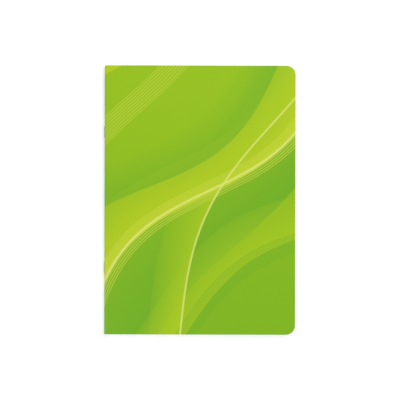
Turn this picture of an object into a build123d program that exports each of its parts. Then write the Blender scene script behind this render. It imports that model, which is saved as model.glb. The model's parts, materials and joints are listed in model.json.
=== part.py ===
from build123d import *
import os

# Stapled exercise book, closed and lying on its back cover.
# +X runs from the spine to the fore-edge, +Y from the tail to the head, +Z out of the front cover.
# The origin is under the middle of the book, on the surface that it lies on. Sizes are in millimetres.

# Trimmed format
BOOK_WIDTH = 211.0  # outside of the spine to the fore-edge
BOOK_HEIGHT = 297.0  # tail to head
CORNER_RADIUS = 10.0  # the two fore-edge corners, cut through cover and leaves together

# Paper and card
SHEETS = 20  # folded sheets, one inside the next; each gives one front leaf and one rear leaf
PAPER = 0.105  # thickness of one leaf
CARD = 0.28  # thickness of the cover
LAYER_GAP = 0.012  # air between two layers of paper or card

# Wire staples
WIRE = 0.5  # wire diameter
WIRE_SIDES = 8  # facets round the wire
WIRE_BEND = 0.08  # inside radius of each bend
STAPLE_CROWN = 12.5  # from one leg to the other
STAPLE_CLENCH = 3.6  # leg turned over inside the centre fold
STAPLE_SPACING = 150.0  # middle of one staple to the middle of the other

# Room round the wire and at the creases
CROWN_GAP = 0.02  # crown to the outside of the cover
PIERCE_GAP = 0.05  # leg to the edge of the slit that it passes through
CLENCH_ROOM = 0.1  # clenched leg to the inside of the innermost fold
LEG_ROOM = 0.15  # leg to the leaves on each side of it when the book lies open
CREASE_GAP = 0.02  # fold to its leaves, and spine to the cover panels

# All folds are half-round shells about one fold axis, so their radii grow by one layer from sheet to sheet
layer = PAPER + LAYER_GAP
centre_radius = WIRE / 2 + CLENCH_ROOM  # inside of the innermost fold
cover_radius = centre_radius + SHEETS * layer  # inside of the cover's spine
spine_radius = cover_radius + CARD  # outside of the cover's spine, which is half the closed thickness
crown_reach = CROWN_GAP + WIRE  # how far a staple stands out of the spine

# The fold axis lies halfway up the closed book and runs along Y
axis_x = (crown_reach - BOOK_WIDTH) / 2 + spine_radius
axis_z = spine_radius
fold_plane = Plane((axis_x, 0, axis_z), x_dir=(1, 0, 0), z_dir=(0, -1, 0))
crease = WIRE / 2 + LEG_ROOM  # from the fold axis to where the flat leaves begin

# Both staples sit on the spine at equal distances from the book's middle
staple_places = (-STAPLE_SPACING / 2, STAPLE_SPACING / 2)
leg_places = [middle + side * STAPLE_CROWN / 2 for middle in staple_places for side in (-1, 1)]


def fold_radius(sheet):
    """Inside radius of a sheet's fold, counting the sheets from 1 at the cover to SHEETS at the centre."""
    return centre_radius + (SHEETS - sheet) * layer


def panel(thickness):
    """Flat leaf or cover panel from the crease to the fore-edge, with its two outer corners rounded."""
    length = BOOK_WIDTH - spine_radius - crease
    outline = Rectangle(length, BOOK_HEIGHT, align=(Align.MIN, Align.CENTER))
    outer_corners = outline.vertices().group_by(Axis.X)[-1]
    return extrude(Pos(axis_x + crease) * fillet(outer_corners, CORNER_RADIUS), thickness)


def fold(inner_radius, wall):
    """Half-round fold with a short flat lip towards each leaf, slit where the staple legs pass through."""
    outer_radius = inner_radius + wall
    spine_side = Rectangle(outer_radius, 2 * outer_radius, align=(Align.MAX, Align.CENTER))
    profile = (Circle(outer_radius) - Circle(inner_radius)) & spine_side
    lip = Rectangle(crease - CREASE_GAP, wall, align=(Align.MIN, Align.CENTER))
    for side in (-1, 1):
        profile += Pos(0, side * (inner_radius + wall / 2)) * lip
    shell = extrude(fold_plane * profile, BOOK_HEIGHT / 2, both=True)
    slit_width = WIRE + 2 * PIERCE_GAP
    slit = Box(2 * spine_radius, slit_width, slit_width, align=(Align.MAX, Align.CENTER, Align.CENTER))
    return shell - [Pos(axis_x, leg_y, axis_z) * slit for leg_y in leg_places]


def staple(middle):
    """Bent wire: a crown outside the spine, two legs through every fold, ends clenched along the fold axis."""
    crown_x = axis_x - spine_radius - CROWN_GAP - WIRE / 2
    leg_y = STAPLE_CROWN / 2
    tip_y = leg_y - STAPLE_CLENCH
    clenched_end = [(axis_x, tip_y), (axis_x, leg_y), (crown_x, leg_y)]
    other_end = [(x, -y) for x, y in reversed(clenched_end)]
    route = FilletPolyline(*clenched_end, *other_end, radius=WIRE / 2 + WIRE_BEND)
    section = Plane(route @ 0, z_dir=route % 0) * RegularPolygon(WIRE / 2, WIRE_SIDES)
    return Pos(0, middle, axis_z) * sweep(section, path=route)


# The cover is one folded card: a panel on each side and the half-round spine between them
pieces = {
    "back_cover": panel(CARD),
    "front_cover": Pos(0, 0, axis_z + cover_radius) * panel(CARD),
    "cover_spine": fold(cover_radius, CARD),
}

# Each sheet is a front leaf, a rear leaf and the fold that joins them; leaves are numbered from the front
leaf = panel(PAPER)
for sheet in range(1, SHEETS + 1):
    radius = fold_radius(sheet)
    pieces[f"leaf_{sheet:02d}"] = Pos(0, 0, axis_z + radius) * leaf
    pieces[f"leaf_{2 * SHEETS + 1 - sheet:02d}"] = Pos(0, 0, axis_z - radius - PAPER) * leaf
pieces["sheet_folds"] = Compound(children=[fold(fold_radius(n), PAPER) for n in range(1, SHEETS + 1)])

# The two staples hold the cover and all the sheets together at the fold
pieces["lower_staple"], pieces["upper_staple"] = [staple(middle) for middle in staple_places]

os.makedirs("parts", exist_ok=True)
for name, piece in pieces.items():
    export_step(piece, f"parts/{name}.step")
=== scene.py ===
import json
import math

import bmesh
import bpy
from bl_math import lerp, smoothstep
from mathutils import Color, Matrix, Vector


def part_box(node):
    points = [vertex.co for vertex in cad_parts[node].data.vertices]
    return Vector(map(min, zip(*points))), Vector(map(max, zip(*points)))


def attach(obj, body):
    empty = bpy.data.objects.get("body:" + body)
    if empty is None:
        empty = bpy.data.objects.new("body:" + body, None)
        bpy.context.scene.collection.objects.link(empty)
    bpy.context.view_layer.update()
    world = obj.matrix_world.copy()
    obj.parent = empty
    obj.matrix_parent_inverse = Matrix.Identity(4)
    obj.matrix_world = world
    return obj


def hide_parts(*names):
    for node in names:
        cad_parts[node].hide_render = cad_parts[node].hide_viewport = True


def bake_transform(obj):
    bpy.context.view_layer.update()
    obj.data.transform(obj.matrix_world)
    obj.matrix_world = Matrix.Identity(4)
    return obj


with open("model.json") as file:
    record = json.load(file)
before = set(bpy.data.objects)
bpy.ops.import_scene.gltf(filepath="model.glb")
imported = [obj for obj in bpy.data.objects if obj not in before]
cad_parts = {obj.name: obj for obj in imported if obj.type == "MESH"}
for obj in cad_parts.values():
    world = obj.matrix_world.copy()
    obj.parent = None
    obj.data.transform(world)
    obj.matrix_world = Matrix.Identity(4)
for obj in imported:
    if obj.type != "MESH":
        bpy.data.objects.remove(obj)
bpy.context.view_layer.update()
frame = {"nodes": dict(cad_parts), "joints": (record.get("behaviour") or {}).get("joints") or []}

# Cover card: one sheet of white card, printed and varnished on its outer side and folded round the sheets.
# The staples hold it at the spine. It is trimmed together with the sheets, which rounds the corners of the
# fore-edge and leaves cut edges that show the white core.
joints = {joint["name"]: joint for joint in frame["joints"]}
fold_axis = Vector(joints["book_opening"]["pos_m"])
leaf_count = sum(name.startswith("leaf_") for name in frame["nodes"])
first_leaf, last_leaf = "leaf_01", f"leaf_{leaf_count:02d}"
front_low, front_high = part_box("front_cover")
tail, head = front_low.y, front_high.y
crease, fore_edge = front_low.x, front_high.x
card = front_high.z - front_low.z
cover_inside = front_low.z - fold_axis.z
spine_radius = cover_inside + card
quarter_turn = spine_radius * math.pi / 2
corner_radius = 0.010
corner_steps = 10
trim_tolerance = 1e-6
bend_steps = 16
sharp_angle = math.radians(35)
# A fold laps onto what it joins, and its ends draw in, so that they stay hidden in the open book.
fold_steps = 24
fold_lip = 0.0001
fold_recess = 0.0001

lime_inks = (150, 193, 20), (128, 182, 22)
deep_ink, mid_ink, soft_ink = (104, 172, 32), (116, 178, 30), (172, 204, 24)
yellow_ink, pale_ink, light_ink = (190, 210, 26), (206, 219, 70), (220, 229, 112)
crisp = 0.0006
stripe_edge, stripe_core = 0.30, 0.22
varnish_roughness, varnish_shine = 0.36, 0.38
varnish_scale, varnish_grain = 1500.0, 0.06
card_tones = (0.81, 0.81, 0.785), (0.85, 0.85, 0.83)
card_mottle = 120.0
card_roughness = 0.7
card_scale, card_grain = 1800.0, 0.15
grain_depth, grain_detail = 0.0001, 3.0


def start_strip(mesh, x, z):
    """Lays the first edge of a strip, from the tail to the head of the book."""
    return mesh.edges.new([mesh.verts.new((x, y, z)) for y in (tail, head)])


def draw_out(mesh, edge, move):
    """Extrudes the open edge of a strip by one move and returns the new open edge."""
    made = bmesh.ops.extrude_edge_only(mesh, edges=[edge])["geom"]
    ends = {part for part in made if isinstance(part, bmesh.types.BMVert)}
    bmesh.ops.translate(mesh, verts=list(ends), vec=move)
    return next(part for part in made if isinstance(part, bmesh.types.BMEdge) and set(part.verts) == ends)


def fold_over(mesh, edge, bulge=0.0):
    """Spins a strip's open edge half a turn round the fold axis, bulges the fold and draws its ends in."""
    radius = fold_axis.z - edge.verts[0].co.z
    turned = bmesh.ops.spin(
        mesh, geom=[edge, *edge.verts], cent=fold_axis, axis=(0, 1, 0), angle=math.pi, steps=fold_steps
    )
    for vert in mesh.verts:
        depth = max(0, fold_axis.x - vert.co.x) / radius
        vert.co.x -= bulge * depth
        vert.co.y -= math.copysign(fold_recess * depth, vert.co.y)
    return next(part for part in turned["geom_last"] if isinstance(part, bmesh.types.BMEdge))


def round_corners(mesh):
    """Rounds every corner that lies on the fore-edge, as the trimming punch does."""
    corners = [vert for vert in mesh.verts if abs(vert.co.x - fore_edge) < trim_tolerance]
    bmesh.ops.bevel(
        mesh,
        geom=corners,
        offset=corner_radius,
        offset_type="OFFSET",
        affect="VERTICES",
        segments=corner_steps,
        profile=0.5,
        material=-1,
    )


def thicken(mesh, thickness):
    """Gives a strip its thickness, on the side that its faces look away from."""
    bmesh.ops.solidify(mesh, geom=mesh.faces[:], thickness=thickness)
    bmesh.ops.recalc_face_normals(mesh, faces=mesh.faces)


def make_piece(name, mesh, *materials):
    """Makes an object of a finished bmesh, shaded smooth over its bends and sharp at its cut edges."""
    for face in mesh.faces:
        face.smooth = True
    for edge in mesh.edges:
        edge.smooth = edge.calc_face_angle(0) < sharp_angle
    data = bpy.data.meshes.new(name)
    mesh.to_mesh(data)
    mesh.free()
    for material in materials:
        data.materials.append(material)
    piece = bpy.data.objects.new(name, data)
    bpy.context.scene.collection.objects.link(piece)
    return piece


def new_material(name):
    """Makes a node material and returns it with its tree and its shader."""
    material = bpy.data.materials.new(name)
    material.use_nodes = True
    tree = material.node_tree
    return material, tree, tree.nodes["Principled BSDF"]


def add_node(tree, kind, *inputs, **settings):
    """Adds a node with its settings and fills its inputs in order: sockets are linked, None is skipped."""
    node = tree.nodes.new(kind)
    for name, value in settings.items():
        setattr(node, name, value)
    for socket, value in zip(node.inputs, inputs):
        if isinstance(value, bpy.types.NodeSocket):
            tree.links.new(value, socket)
        elif value is not None:
            socket.default_value = value
    return node


def maths(tree, operation, *values):
    """Adds one sum on numbers and returns its result."""
    return add_node(tree, "ShaderNodeMath", *values, operation=operation).outputs[0]


def ease(tree, value, low, high):
    """Rises smoothly from 0 where the value is low to 1 where it is high."""
    ramp = add_node(tree, "ShaderNodeMapRange", value, low, high, interpolation_type="SMOOTHSTEP")
    return ramp.outputs[0]


def mix_colours(tree, factor, first, second):
    """Mixes two colours by a factor and returns the result."""
    numbers_and_vectors = [None] * 5
    inputs = [factor, *numbers_and_vectors, first, second]
    return add_node(tree, "ShaderNodeMix", *inputs, data_type="RGBA").outputs[2]


def ink(red, green, blue):
    """Linear colour of a tone that is given as it looks on a screen, from 0 to 255."""
    return (*Color((red / 255, green / 255, blue / 255)).from_srgb_to_scene_linear(), 1)


def noise(tree, place, scale, detail):
    """Adds a noise texture and returns its value."""
    return add_node(tree, "ShaderNodeTexNoise", place, None, scale, detail).outputs["Fac"]


def mottle(tree, place, scale, tones, detail=4.0):
    """Wavers between two tones, as pale stock does where its fibres lie thicker or thinner."""
    return mix_colours(tree, noise(tree, place, scale, detail), (*tones[0], 1), (*tones[1], 1))


def add_grain(tree, shader, place, scale, strength):
    """Roughens a surface with the fine grain of its fibres."""
    fibres = noise(tree, place, scale, grain_detail)
    bump = add_node(tree, "ShaderNodeBump", strength, grain_depth, None, fibres)
    tree.links.new(bump.outputs[0], shader.inputs["Normal"])


bare_card, tree, shader = new_material("bare_card")
on_card = add_node(tree, "ShaderNodeUVMap", uv_map="card").outputs[0]
tree.links.new(mottle(tree, on_card, card_mottle, card_tones), shader.inputs["Base Color"])
shader.inputs["Roughness"].default_value = card_roughness
add_grain(tree, shader, on_card, card_scale, card_grain)

printed_card, tree, shader = new_material("printed_card")
on_card = add_node(tree, "ShaderNodeUVMap", uv_map="card").outputs[0]
height = add_node(tree, "ShaderNodeSeparateXYZ", on_card).outputs[1]
colour = mix_colours(tree, ease(tree, height, head, tail), ink(*lime_inks[0]), ink(*lime_inks[1]))


def wave(angle, shift, swing, length, phase):
    """Distance from a wavy line that runs across the flat card at an angle, as a number on the surface."""
    turned = add_node(tree, "ShaderNodeMapping", on_card, None, (0, 0, -math.radians(angle))).outputs[0]
    along, over, _ = add_node(tree, "ShaderNodeSeparateXYZ", turned).outputs
    crest = maths(tree, "SINE", maths(tree, "MULTIPLY_ADD", along, math.tau / length, phase))
    return maths(tree, "SUBTRACT", over, maths(tree, "MULTIPLY_ADD", crest, swing, shift))


def band(offset, half):
    """Covers a band of the card on both sides of a wavy line, with crisp edges."""
    return ease(tree, maths(tree, "ABSOLUTE", offset), half + crisp, half)


def lay_ribbon(under, offset, tone, half, cover, fade=0.0):
    """Prints a broad ribbon that is strongest along its lower edge and fades towards its upper one."""
    levels = [-half, half, cover, cover * (1 - fade)]
    strength = add_node(tree, "ShaderNodeMapRange", offset, *levels).outputs[0]
    return mix_colours(tree, maths(tree, "MULTIPLY", band(offset, half), strength), under, ink(*tone))


def lay_lines(under, offset, tone, half, cover, pitch):
    """Prints a bundle of fine lines that run side by side along a wavy line."""
    to_line = maths(tree, "PINGPONG", offset, pitch / 2)
    stripe = ease(tree, to_line, pitch * stripe_edge, pitch * stripe_core)
    strength = maths(tree, "MULTIPLY", maths(tree, "MULTIPLY", band(offset, half), stripe), cover)
    return mix_colours(tree, strength, under, ink(*tone))


front_shade = wave(angle=58, shift=-0.100, swing=0.022, length=0.46, phase=2.6)
back_shade = wave(angle=58, shift=0.120, swing=0.022, length=0.46, phase=0.6)
front_sweep = wave(angle=50, shift=-0.058, swing=0.030, length=0.42, phase=2.0)
front_lines = wave(angle=50, shift=-0.084, swing=0.031, length=0.43, phase=1.9)
steep_sweep = wave(angle=66, shift=-0.118, swing=0.026, length=0.50, phase=1.2)
steep_line = wave(angle=66, shift=-0.137, swing=0.026, length=0.50, phase=1.2)
high_sweep = wave(angle=44, shift=-0.005, swing=0.026, length=0.40, phase=2.4)
low_sweep = wave(angle=36, shift=-0.150, swing=0.024, length=0.40, phase=0.2)
low_lines = wave(angle=36, shift=-0.176, swing=0.024, length=0.40, phase=0.3)
spine_lines = wave(angle=62, shift=0.020, swing=0.026, length=0.44, phase=1.6)
back_sweep = wave(angle=48, shift=0.100, swing=0.028, length=0.42, phase=1.0)
far_sweep = wave(angle=56, shift=0.190, swing=0.026, length=0.46, phase=0.2)
colour = lay_ribbon(colour, front_shade, deep_ink, half=0.052, cover=0.80, fade=0.90)
colour = lay_ribbon(colour, back_shade, deep_ink, half=0.050, cover=0.70, fade=0.90)
colour = lay_ribbon(colour, front_sweep, yellow_ink, half=0.026, cover=0.90, fade=0.75)
colour = lay_ribbon(colour, steep_sweep, soft_ink, half=0.018, cover=0.75, fade=0.85)
colour = lay_ribbon(colour, high_sweep, mid_ink, half=0.020, cover=0.70, fade=0.85)
colour = lay_ribbon(colour, low_sweep, soft_ink, half=0.024, cover=0.75, fade=0.80)
colour = lay_ribbon(colour, back_sweep, yellow_ink, half=0.024, cover=0.75, fade=0.80)
colour = lay_ribbon(colour, far_sweep, soft_ink, half=0.020, cover=0.75, fade=0.80)
colour = lay_lines(colour, front_lines, pale_ink, half=0.0105, cover=0.55, pitch=0.0026)
colour = lay_lines(colour, low_lines, deep_ink, half=0.0110, cover=0.50, pitch=0.0024)
colour = lay_lines(colour, spine_lines, pale_ink, half=0.0120, cover=0.45, pitch=0.0030)
colour = lay_ribbon(colour, front_lines, light_ink, half=0.0011, cover=0.85)
colour = lay_ribbon(colour, steep_line, light_ink, half=0.0008, cover=0.75)
tree.links.new(colour, shader.inputs["Base Color"])
shader.inputs["Roughness"].default_value = varnish_roughness
shader.inputs["Specular IOR Level"].default_value = varnish_shine
add_grain(tree, shader, on_card, varnish_scale, varnish_grain)


def unroll(point):
    """Place of a point on the card laid flat: along the book from the middle of the spine, and up it."""
    out, up = point.x - fold_axis.x, point.z - fold_axis.z
    if out < 0:
        return spine_radius * math.atan2(up, -out), point.y
    return math.copysign(quarter_turn + out, up), point.y


def card_piece(name, mesh):
    """Gives a strip of cover card its thickness, with print outside and bare card everywhere else."""
    printed = mesh.faces[:]
    thicken(mesh, card)
    card_map = mesh.loops.layers.uv.new("card")
    for face in mesh.faces:
        face.material_index = 0 if face in printed else 1
        for loop in face.loops:
            loop[card_map].uv = unroll(loop.vert.co)
    piece = make_piece(name, mesh, printed_card, bare_card)
    return piece


mesh = bmesh.new()
bend_start = fold_axis + Vector((fold_lip, 0, spine_radius))
bend_length = Vector((2 * (crease - bend_start.x), 0, 0))
edge = start_strip(mesh, bend_start.x, bend_start.z)
for step in range(bend_steps):
    edge = draw_out(mesh, edge, bend_length / bend_steps)
draw_out(mesh, edge, Vector((fore_edge - bend_start.x, 0, 0)) - bend_length)
round_corners(mesh)
front_panel = card_piece("front_panel", mesh)
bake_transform(front_panel)
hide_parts("front_cover")

mesh = bmesh.new()
edge = start_strip(mesh, fore_edge, fold_axis.z - spine_radius)
draw_out(mesh, edge, Vector((crease - fore_edge, 0, 0)))
round_corners(mesh)
back_panel = card_piece("back_panel", mesh)
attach(back_panel, "back_cover")
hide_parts("back_cover")

mesh = bmesh.new()
edge = start_strip(mesh, crease, fold_axis.z - spine_radius)
edge = draw_out(mesh, edge, Vector((fold_axis.x - crease, 0, 0)))
edge = fold_over(mesh, edge)
draw_out(mesh, edge, Vector((fold_lip, 0, 0)))
spine_wrap = card_piece("spine_wrap", mesh)
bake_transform(spine_wrap)
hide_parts("cover_spine")

# Folded sheets: smooth white writing paper, ruled on both sides, each folded once and laid inside the next.
# The staples hold them at the fold, where the wire keeps them apart. Away from it they close up, so that
# each page curves into the gutter, and they are trimmed flush with the cover.
leaf_low, leaf_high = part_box(first_leaf)
paper = leaf_high.z - leaf_low.z
sheet_count = leaf_count // 2
sheet_pitch = cover_inside / sheet_count
leaf_length = fore_edge - fold_axis.x
fold_bulge = 0.00011
gutter_width = 0.005
gutter_steps = 10

rule_pitch = 0.008
rule_width, rule_blur = 0.0004, 0.00008
rule_edge, rule_core = rule_width / 2 + rule_blur, rule_width / 2 - rule_blur
tail_space = 0.016
first_rule, last_rule = 0.032, head - tail - tail_space
margin = 0.026
rule_ink = (128, 154, 208)
margin_ink = (222, 104, 124)
paper_tones = (0.84, 0.84, 0.82), (0.88, 0.88, 0.865)
paper_mottle = 90.0
paper_roughness = 0.62
paper_scale, paper_grain = 2600.0, 0.12
# Painted shade along the fold: its width, how sharply it falls off, and its dark tone.
crease_shade_width, crease_shade_fall = 0.0012, 2.0
crease_shade_tone = (0.62, 0.62, 0.61)
cut_tones = (0.77, 0.77, 0.75), (0.88, 0.88, 0.865)
cut_mottle, cut_detail = 60.0, 5.0
cut_roughness = 0.8
cut_slope = 0.5
cut_scale, cut_grain = 3000.0, 0.2
# The folds' one plain tone lies between the cut paper and the painted crease shade. It is darker than the
# pages partly as painted shade in the fold.
fold_shaded_tone = (0.74, 0.74, 0.725)

page_paper, tree, shader = new_material("page_paper")
on_page = add_node(tree, "ShaderNodeUVMap", uv_map="page").outputs[0]
across, down, _ = add_node(tree, "ShaderNodeSeparateXYZ", on_page).outputs
colour = mottle(tree, on_page, paper_mottle, paper_tones)
# Painted shade: the paper darkens towards the fold, standing in for shade in the crease of the gutter. The
# ruling is drawn over it.
to_fold = maths(tree, "ABSOLUTE", across)
painted_crease_shade = maths(tree, "POWER", ease(tree, to_fold, crease_shade_width, 0.0), crease_shade_fall)
colour = mix_colours(tree, painted_crease_shade, colour, (*crease_shade_tone, 1))
to_rule = maths(tree, "PINGPONG", down, rule_pitch / 2)
ruled_half = (last_rule - first_rule) / 2 + rule_width
ruled_part = maths(tree, "COMPARE", down, (first_rule + last_rule) / 2, ruled_half)
rules = maths(tree, "MULTIPLY", ease(tree, to_rule, rule_edge, rule_core), ruled_part)
colour = mix_colours(tree, rules, colour, ink(*rule_ink))
right_margin = maths(tree, "ABSOLUTE", maths(tree, "SUBTRACT", across, margin))
left_margin = maths(tree, "ABSOLUTE", maths(tree, "SUBTRACT", across, margin - leaf_length))
to_margin = maths(tree, "MINIMUM", right_margin, left_margin)
colour = mix_colours(tree, ease(tree, to_margin, rule_edge, rule_core), colour, ink(*margin_ink))
tree.links.new(colour, shader.inputs["Base Color"])
shader.inputs["Roughness"].default_value = paper_roughness
add_grain(tree, shader, on_page, paper_scale, paper_grain)

cut_paper, tree, shader = new_material("cut_paper")
on_page = add_node(tree, "ShaderNodeUVMap", uv_map="page").outputs[0]
tree.links.new(mottle(tree, on_page, cut_mottle, cut_tones, cut_detail), shader.inputs["Base Color"])
shader.inputs["Roughness"].default_value = cut_roughness
add_grain(tree, shader, on_page, cut_scale, cut_grain)

# Plain paper for the hidden folds, in a tone darkened partly as painted crease shade.
fold_paper, tree, shader = new_material("fold_paper")
shader.inputs["Base Color"].default_value = (*fold_shaded_tone, 1)
shader.inputs["Roughness"].default_value = paper_roughness


def lay_strip(mesh, places):
    """Lays a strip through places, given as out and up from the fold axis, and returns its open edge."""
    points = [fold_axis + Vector((out, 0, up)) for out, up in places]
    edge = start_strip(mesh, points[0].x, points[0].z)
    for here, there in zip(points, points[1:]):
        edge = draw_out(mesh, edge, there - here)
    return edge


def ruled_piece(name, mesh, sheet, trimmed):
    """Gives paper its thickness, ruling on both faces and bare edges where it is trimmed across an axis."""
    thicken(mesh, paper)
    page_map = mesh.loops.layers.uv.new("page")
    for face in mesh.faces:
        is_cut = any(abs(getattr(face.normal, axis)) > cut_slope for axis in trimmed)
        face.material_index = 1 if is_cut else 0
        side = math.copysign(1, face.normal.z)
        for loop in face.loops:
            from_fold = side * (loop.vert.co.x - fold_axis.x)
            loop[page_map].uv = from_fold + face.material_index * sheet, head - loop.vert.co.y
    piece = make_piece(name, mesh, page_paper, cut_paper)
    return piece


def plain_piece(name, mesh):
    """Gives paper that stays out of sight its thickness and one plain tone."""
    thicken(mesh, paper)
    piece = make_piece(name, mesh, fold_paper)
    return piece


def out_of_sight(sheet):
    """How many sheets lie between this one and the nearer of the cover and the centre."""
    return min(sheet - 1, sheet_count - sheet)


# The pages that show come first, because the export keeps the most detail for the first pieces of a size.
for sheet in sorted(range(1, sheet_count + 1), key=out_of_sight):
    front_leaf, rear_leaf = f"leaf_{sheet:02d}", f"leaf_{leaf_count + 1 - sheet:02d}"
    fold_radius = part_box(front_leaf)[1].z - fold_axis.z
    flat_height = (sheet_count - sheet) * sheet_pitch + (sheet_pitch + paper) / 2
    front_line = []
    for step in range(gutter_steps + 1):
        share = step / gutter_steps
        up = lerp(fold_radius, flat_height, smoothstep(0, 1, share))
        front_line.append((fold_lip + gutter_width * share, up))
    front_line.append((leaf_length, flat_height))
    rear_line = [(out, -up) for out, up in reversed(front_line)]
    for leaf, line in ((front_leaf, front_line), (rear_leaf, rear_line)):
        mesh = bmesh.new()
        lay_strip(mesh, line)
        round_corners(mesh)
        page = ruled_piece(f"page_{leaf}", mesh, sheet, trimmed="xy")
        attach(page, leaf)
        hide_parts(leaf)
    mesh = bmesh.new()
    edge = lay_strip(mesh, [(fold_lip, -fold_radius), (0, -fold_radius)])
    edge = fold_over(mesh, edge, bulge=fold_bulge * (sheet - 1) / (sheet_count - 1))
    draw_out(mesh, edge, Vector((fold_lip, 0, 0)))
    if sheet == sheet_count:
        fold = ruled_piece(f"fold_{sheet:02d}", mesh, sheet, trimmed="y")
    else:
        fold = plain_piece(f"fold_{sheet:02d}", mesh)
    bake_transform(fold)
    if sheet == 1:
        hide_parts("sheet_folds")

# Staples: round drawn steel wire, driven through the spine from outside and clenched along the centre fold.
# The cutter leaves each end of the wire as a blunt wedge.
wire_radius = 0.00025
wire_sides = 16
wire_bend = 0.00035
bend_sides = 6
clench_length = 0.0036
wedge_length = 0.0004
wedge_share = 0.35
steel_tones = (0.56, 0.56, 0.55), (0.68, 0.68, 0.67)
steel_roughness = 0.24, 0.42
streak_scale = (9000.0, 700.0, 9000.0)
streak_detail = 3.0
streak_range = 0.3, 0.7

staple_wire, tree, shader = new_material("staple_wire")
on_wire = add_node(tree, "ShaderNodeTexCoord").outputs["Object"]
drawn = add_node(tree, "ShaderNodeMapping", on_wire, None, None, streak_scale).outputs[0]
streaks = noise(tree, drawn, 1.0, streak_detail)
colour = mix_colours(tree, streaks, (*steel_tones[0], 1), (*steel_tones[1], 1))
roughness = add_node(tree, "ShaderNodeMapRange", streaks, *streak_range, *steel_roughness).outputs[0]
tree.links.new(colour, shader.inputs["Base Color"])
tree.links.new(roughness, shader.inputs["Roughness"])
shader.inputs["Metallic"].default_value = 1.0


def run_wire(mesh, ring, move, scale=None):
    """Extrudes the open ring of a wire along one straight run and returns its new ring."""
    made = bmesh.ops.extrude_edge_only(mesh, edges=ring)["geom"]
    verts = [part for part in made if isinstance(part, bmesh.types.BMVert)]
    edges = [part for part in made if isinstance(part, bmesh.types.BMEdge)]
    bmesh.ops.translate(mesh, verts=verts, vec=move)
    if scale:
        middle = sum((vert.co for vert in verts), Vector()) / len(verts)
        bmesh.ops.scale(mesh, verts=verts, vec=scale, space=Matrix.Translation(-middle))
    return [edge for edge in edges if all(vert in verts for vert in edge.verts)]


def bend_wire(mesh, ring, centre):
    """Spins the open ring of a wire a quarter turn about a bend's centre and returns its new ring."""
    verts = {vert for edge in ring for vert in edge.verts}
    turned = bmesh.ops.spin(
        mesh, geom=[*ring, *verts], cent=centre, axis=(0, 0, 1), angle=math.pi / 2, steps=bend_sides
    )
    return [part for part in turned["geom_last"] if isinstance(part, bmesh.types.BMEdge)]


for node in ("lower_staple", "upper_staple"):
    staple_low, staple_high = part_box(node)
    crown_x = staple_low.x + wire_radius
    low_leg, high_leg = staple_low.y + wire_radius, staple_high.y - wire_radius
    leg_run = fold_axis.x - crown_x - 2 * wire_bend
    crown_run = high_leg - low_leg - 2 * wire_bend
    clench_run = clench_length - wire_bend - wedge_length
    tip = Vector((fold_axis.x, high_leg - clench_length, fold_axis.z))
    mesh = bmesh.new()
    across_fold = Matrix.Translation(tip) @ Matrix.Rotation(math.pi / 2, 4, "X")
    wire = bmesh.ops.create_circle(
        mesh, cap_ends=True, segments=wire_sides, radius=wire_radius, matrix=across_fold
    )
    bmesh.ops.scale(mesh, verts=wire["verts"], vec=(wedge_share, 1, 1), space=Matrix.Translation(-tip))
    ring = mesh.edges[:]
    ring = run_wire(mesh, ring, Vector((0, wedge_length, 0)), scale=(1 / wedge_share, 1, 1))
    ring = run_wire(mesh, ring, Vector((0, clench_run, 0)))
    ring = bend_wire(mesh, ring, Vector((fold_axis.x - wire_bend, high_leg - wire_bend, fold_axis.z)))
    ring = run_wire(mesh, ring, Vector((-leg_run, 0, 0)))
    ring = bend_wire(mesh, ring, Vector((crown_x + wire_bend, high_leg - wire_bend, fold_axis.z)))
    ring = run_wire(mesh, ring, Vector((0, -crown_run, 0)))
    ring = bend_wire(mesh, ring, Vector((crown_x + wire_bend, low_leg + wire_bend, fold_axis.z)))
    ring = run_wire(mesh, ring, Vector((leg_run, 0, 0)))
    ring = bend_wire(mesh, ring, Vector((fold_axis.x - wire_bend, low_leg + wire_bend, fold_axis.z)))
    ring = run_wire(mesh, ring, Vector((0, clench_run, 0)))
    ring = run_wire(mesh, ring, Vector((0, wedge_length, 0)), scale=(wedge_share, 1, 1))
    bmesh.ops.edgeloop_fill(mesh, edges=ring)
    bmesh.ops.recalc_face_normals(mesh, faces=mesh.faces)
    staple = make_piece(f"wire_{node}", mesh, staple_wire)
    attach(staple, "staples")
    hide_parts(node)

# Floor and light: a broad white table top under two large soft lamps in a white room with a dim ceiling.
# The floor and the room are white where they are seen, and the floor still takes the book's shadow.
floor_size = 4.0
floor_drop = 0.00002
floor_tone, floor_roughness = 0.75, 0.9
near_glow, far_glow = 0.38, 0.7
glow_start, glow_end = 0.3, 1.0
lamp_size = 1.6
lamps = {"key": ((1.2, 1.2, 1.3), 36.5), "fill": ((-1.2, -1.2, 1.3), 30.5)}
room_light = 0.25
wall_light, ceiling_light = 1.0, 0.15
wall_top, ceiling_edge = 0.14, 0.45


def seen_rays(tree):
    """Is 1 for rays that show a background: straight to the camera, in a reflection or through glass."""
    ray = add_node(tree, "ShaderNodeLightPath").outputs
    mirrored = maths(tree, "MAXIMUM", ray["Is Glossy Ray"], ray["Is Transmission Ray"])
    return maths(tree, "MAXIMUM", ray["Is Camera Ray"], mirrored)


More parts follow.
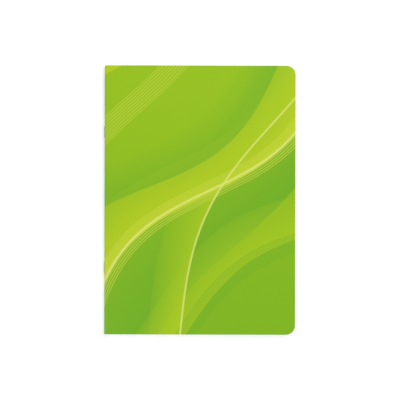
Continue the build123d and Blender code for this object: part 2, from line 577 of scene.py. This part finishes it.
floor_white, tree, shader = new_material("floor_white")
shader.inputs["Base Color"].default_value = (floor_tone, floor_tone, floor_tone, 1)
shader.inputs["Roughness"].default_value = floor_roughness
shader.inputs["Specular IOR Level"].default_value = 0.0
shader.inputs["Emission Color"].default_value = (1, 1, 1, 1)
on_floor = add_node(tree, "ShaderNodeTexCoord").outputs["Object"]
distance = add_node(tree, "ShaderNodeVectorMath", on_floor, operation="LENGTH").outputs["Value"]
glow_levels = [glow_start, glow_end, near_glow, far_glow]
glow = add_node(tree, "ShaderNodeMapRange", distance, *glow_levels).outputs[0]
tree.links.new(maths(tree, "MULTIPLY", seen_rays(tree), glow), shader.inputs["Emission Strength"])

mesh = bmesh.new()
bmesh.ops.create_grid(mesh, size=floor_size / 2, matrix=Matrix.Translation((0, 0, -floor_drop)))
make_piece("floor", mesh, floor_white)

for name, (spot, power) in lamps.items():
    lamp = bpy.data.lights.new(name, "AREA")
    lamp.size = lamp_size
    lamp.energy = power
    holder = bpy.data.objects.new(name, lamp)
    holder.location = spot
    holder.rotation_euler = Vector(spot).to_track_quat("Z", "Y").to_euler()
    bpy.context.scene.collection.objects.link(holder)

world = bpy.data.worlds.new("white_room")
bpy.context.scene.world = world
world.use_nodes = True
tree = world.node_tree
direction = add_node(tree, "ShaderNodeTexCoord").outputs["Generated"]
upward = add_node(tree, "ShaderNodeSeparateXYZ", direction).outputs[2]
levels = [wall_top, ceiling_edge, wall_light, ceiling_light]
walls = add_node(tree, "ShaderNodeMapRange", upward, *levels, interpolation_type="SMOOTHSTEP").outputs[0]
inputs = [seen_rays(tree), None, room_light, walls]
strength = add_node(tree, "ShaderNodeMix", *inputs, data_type="FLOAT").outputs[0]
background = tree.nodes["Background"]
background.inputs["Color"].default_value = (1, 1, 1, 1)
tree.links.new(strength, background.inputs["Strength"])
bpy.context.scene.view_settings.view_transform = "Standard"

# Camera: straight above the closed book, which lies face up with its head at the top of the picture.
# The long lens keeps the sides of the book out of sight, and the picture is turned by a trace.
view_width = 0.4415
lens, sensor = 100.0, 36.0
view_centre = Vector((0.00054, 0.0001, front_high.z))
view_roll = math.radians(0.15)
camera = bpy.data.cameras.new("camera")
camera.lens = lens
camera.sensor_width = sensor
camera_holder = bpy.data.objects.new("camera", camera)
camera_holder.location = view_centre + Vector((0, 0, view_width * lens / sensor))
camera_holder.rotation_euler.z = view_roll
bpy.context.scene.collection.objects.link(camera_holder)
bpy.context.scene.camera = camera_holder
